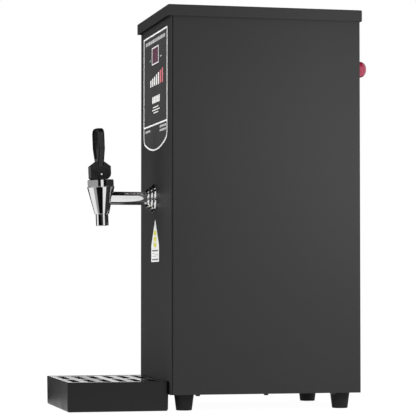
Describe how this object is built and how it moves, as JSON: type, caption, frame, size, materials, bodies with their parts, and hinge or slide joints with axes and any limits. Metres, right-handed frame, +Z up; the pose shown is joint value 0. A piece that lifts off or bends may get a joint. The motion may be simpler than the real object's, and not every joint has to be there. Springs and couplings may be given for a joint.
{
  "type": "hot water urn",
  "caption": "Tall box-shaped counter-top hot water urn with a lever tap on the front and a loose drip tray.",
  "frame": {"origin": "on the supporting surface, under the middle of the overall box of urn and tray", "axes": "+Z up, -Y towards the user at the tap, +X to the right seen from the front"},
  "size_m": [0.247, 0.4912, 0.6262],
  "materials": {
    "black_enamel": "satin powder coat",
    "zinc_steel": "zinc plated",
    "black_rubber": "matte",
    "overlay_film": "fine texture",
    "window_tint": "dark red tint",
    "label_film": "printed",
    "board_green": "solder mask",
    "display_red": "gloss",
    "led_clear": "gloss",
    "stainless": "drawn",
    "foam": "felted",
    "silicone": "matte",
    "black_plastic": "moulded",
    "white_plastic": "moulded",
    "grey_plastic": "moulded",
    "brass": "machined",
    "chrome": "polished",
    "button_red": "gloss",
    "lever_black": "gloss",
    "tray_black": "satin",
    "grille_steel": "polished"
  },
  "bodies": {
    "urn": {"front_panel": "black_enamel", "side_panel_left": "black_enamel", "side_panel_right": "black_enamel", "rear_panel": "black_enamel", "base_plate": "black_enamel", "casing_screws": "zinc_steel", "feet": "black_rubber", "foot_studs": "zinc_steel", "foot_nuts": "zinc_steel", "control_overlay": "overlay_film", "display_window": "window_tint", "care_label": "label_film", "display_board": "board_green", "display_module": "display_red", "indicator_leds": "led_clear", "tank": "stainless", "tank_insulation": "foam", "tank_seal": "silicone", "tank_lid": "stainless", "tank_screws": "zinc_steel", "tank_brackets": "zinc_steel", "silicone_hoses": "silicone", "hose_clamps": "zinc_steel", "overflow_pipe": "stainless", "drain_pipe": "stainless", "inlet_valve": "white_plastic", "valve_coil": "black_plastic", "heating_elements": "stainless", "element_nuts": "brass", "level_probes": "stainless", "probe_bushings": "white_plastic", "thermometer": "brass", "thermal_cutout": "black_plastic", "electronics_shelf": "zinc_steel", "board_standoffs": "brass", "control_board": "board_green", "board_components": "black_plastic", "contactor": "grey_plastic", "terminal_block": "grey_plastic", "cable_gland": "black_plastic", "panel_nuts": "black_plastic", "button_housing": "black_plastic", "button_switch": "black_plastic", "button_spring": "stainless", "tap_body": "chrome", "tap_bonnet": "chrome", "tap_spring": "stainless", "tap_escutcheon": "chrome", "tap_seal": "silicone", "tap_lock_nut": "brass"},
    "lid": {"lid": "black_enamel"},
    "button": {"power_button": "button_red"},
    "plunger": {"valve_plunger": "stainless"},
    "stem": {"tap_stem": "stainless", "seat_cup": "silicone"},
    "lever": {"lever": "lever_black", "lever_pin": "chrome"},
    "tray": {"drip_tray": "tray_black"},
    "grille": {"drip_grille": "grille_steel"},
    "drain_cap": {"drain_cap": "black_plastic"}
  },
  "joints": [
    {"name": "lever_tilt", "type": "hinge", "parent": "stem", "child": "lever", "pos_m": [0, -0.17674, 0.36866], "axis": [0.9903, 0.139, 0.0061], "range_deg": [0, 30], "stiffness_Nm_per_rad": 0.6, "springref_deg": -8.59},
    {"name": "stem_lift", "type": "slide", "parent": "urn", "child": "stem", "axis": [0, -0.0436, 0.999], "range_m": [0, 0.00648], "deforming": ["tap_spring"]},
    {"name": "power_press", "type": "slide", "parent": "urn", "child": "button", "axis": [0, -1, 0], "range_m": [0, 0.003], "stiffness_N_per_m": 500, "springref_m": -0.001, "deforming": ["button_spring"]},
    {"name": "plunger_lift", "type": "slide", "parent": "urn", "child": "plunger", "axis": [0, 0, 1], "range_m": [0, 0.003], "stiffness_N_per_m": 300, "springref_m": -0.001},
    {"name": "lid_lift", "type": "slide", "parent": "urn", "child": "lid", "axis": [0, 0, 1], "range_m": [0, 0.06]},
    {"name": "tray_slide", "type": "slide", "parent": "urn", "child": "tray", "axis": [0, -1, 0], "range_m": [0, 0.18]},
    {"name": "grille_lift", "type": "slide", "parent": "tray", "child": "grille", "axis": [0, 0, 1], "range_m": [0, 0.06]},
    {"name": "drain_cap_pull", "type": "slide", "parent": "urn", "child": "drain_cap", "axis": [0, 1, 0], "range_m": [0, 0.03]}
  ],
  "couplings": [
    {"joint": "stem_lift", "follows": "lever_tilt", "m_per_rad": 0.012}
  ]
}
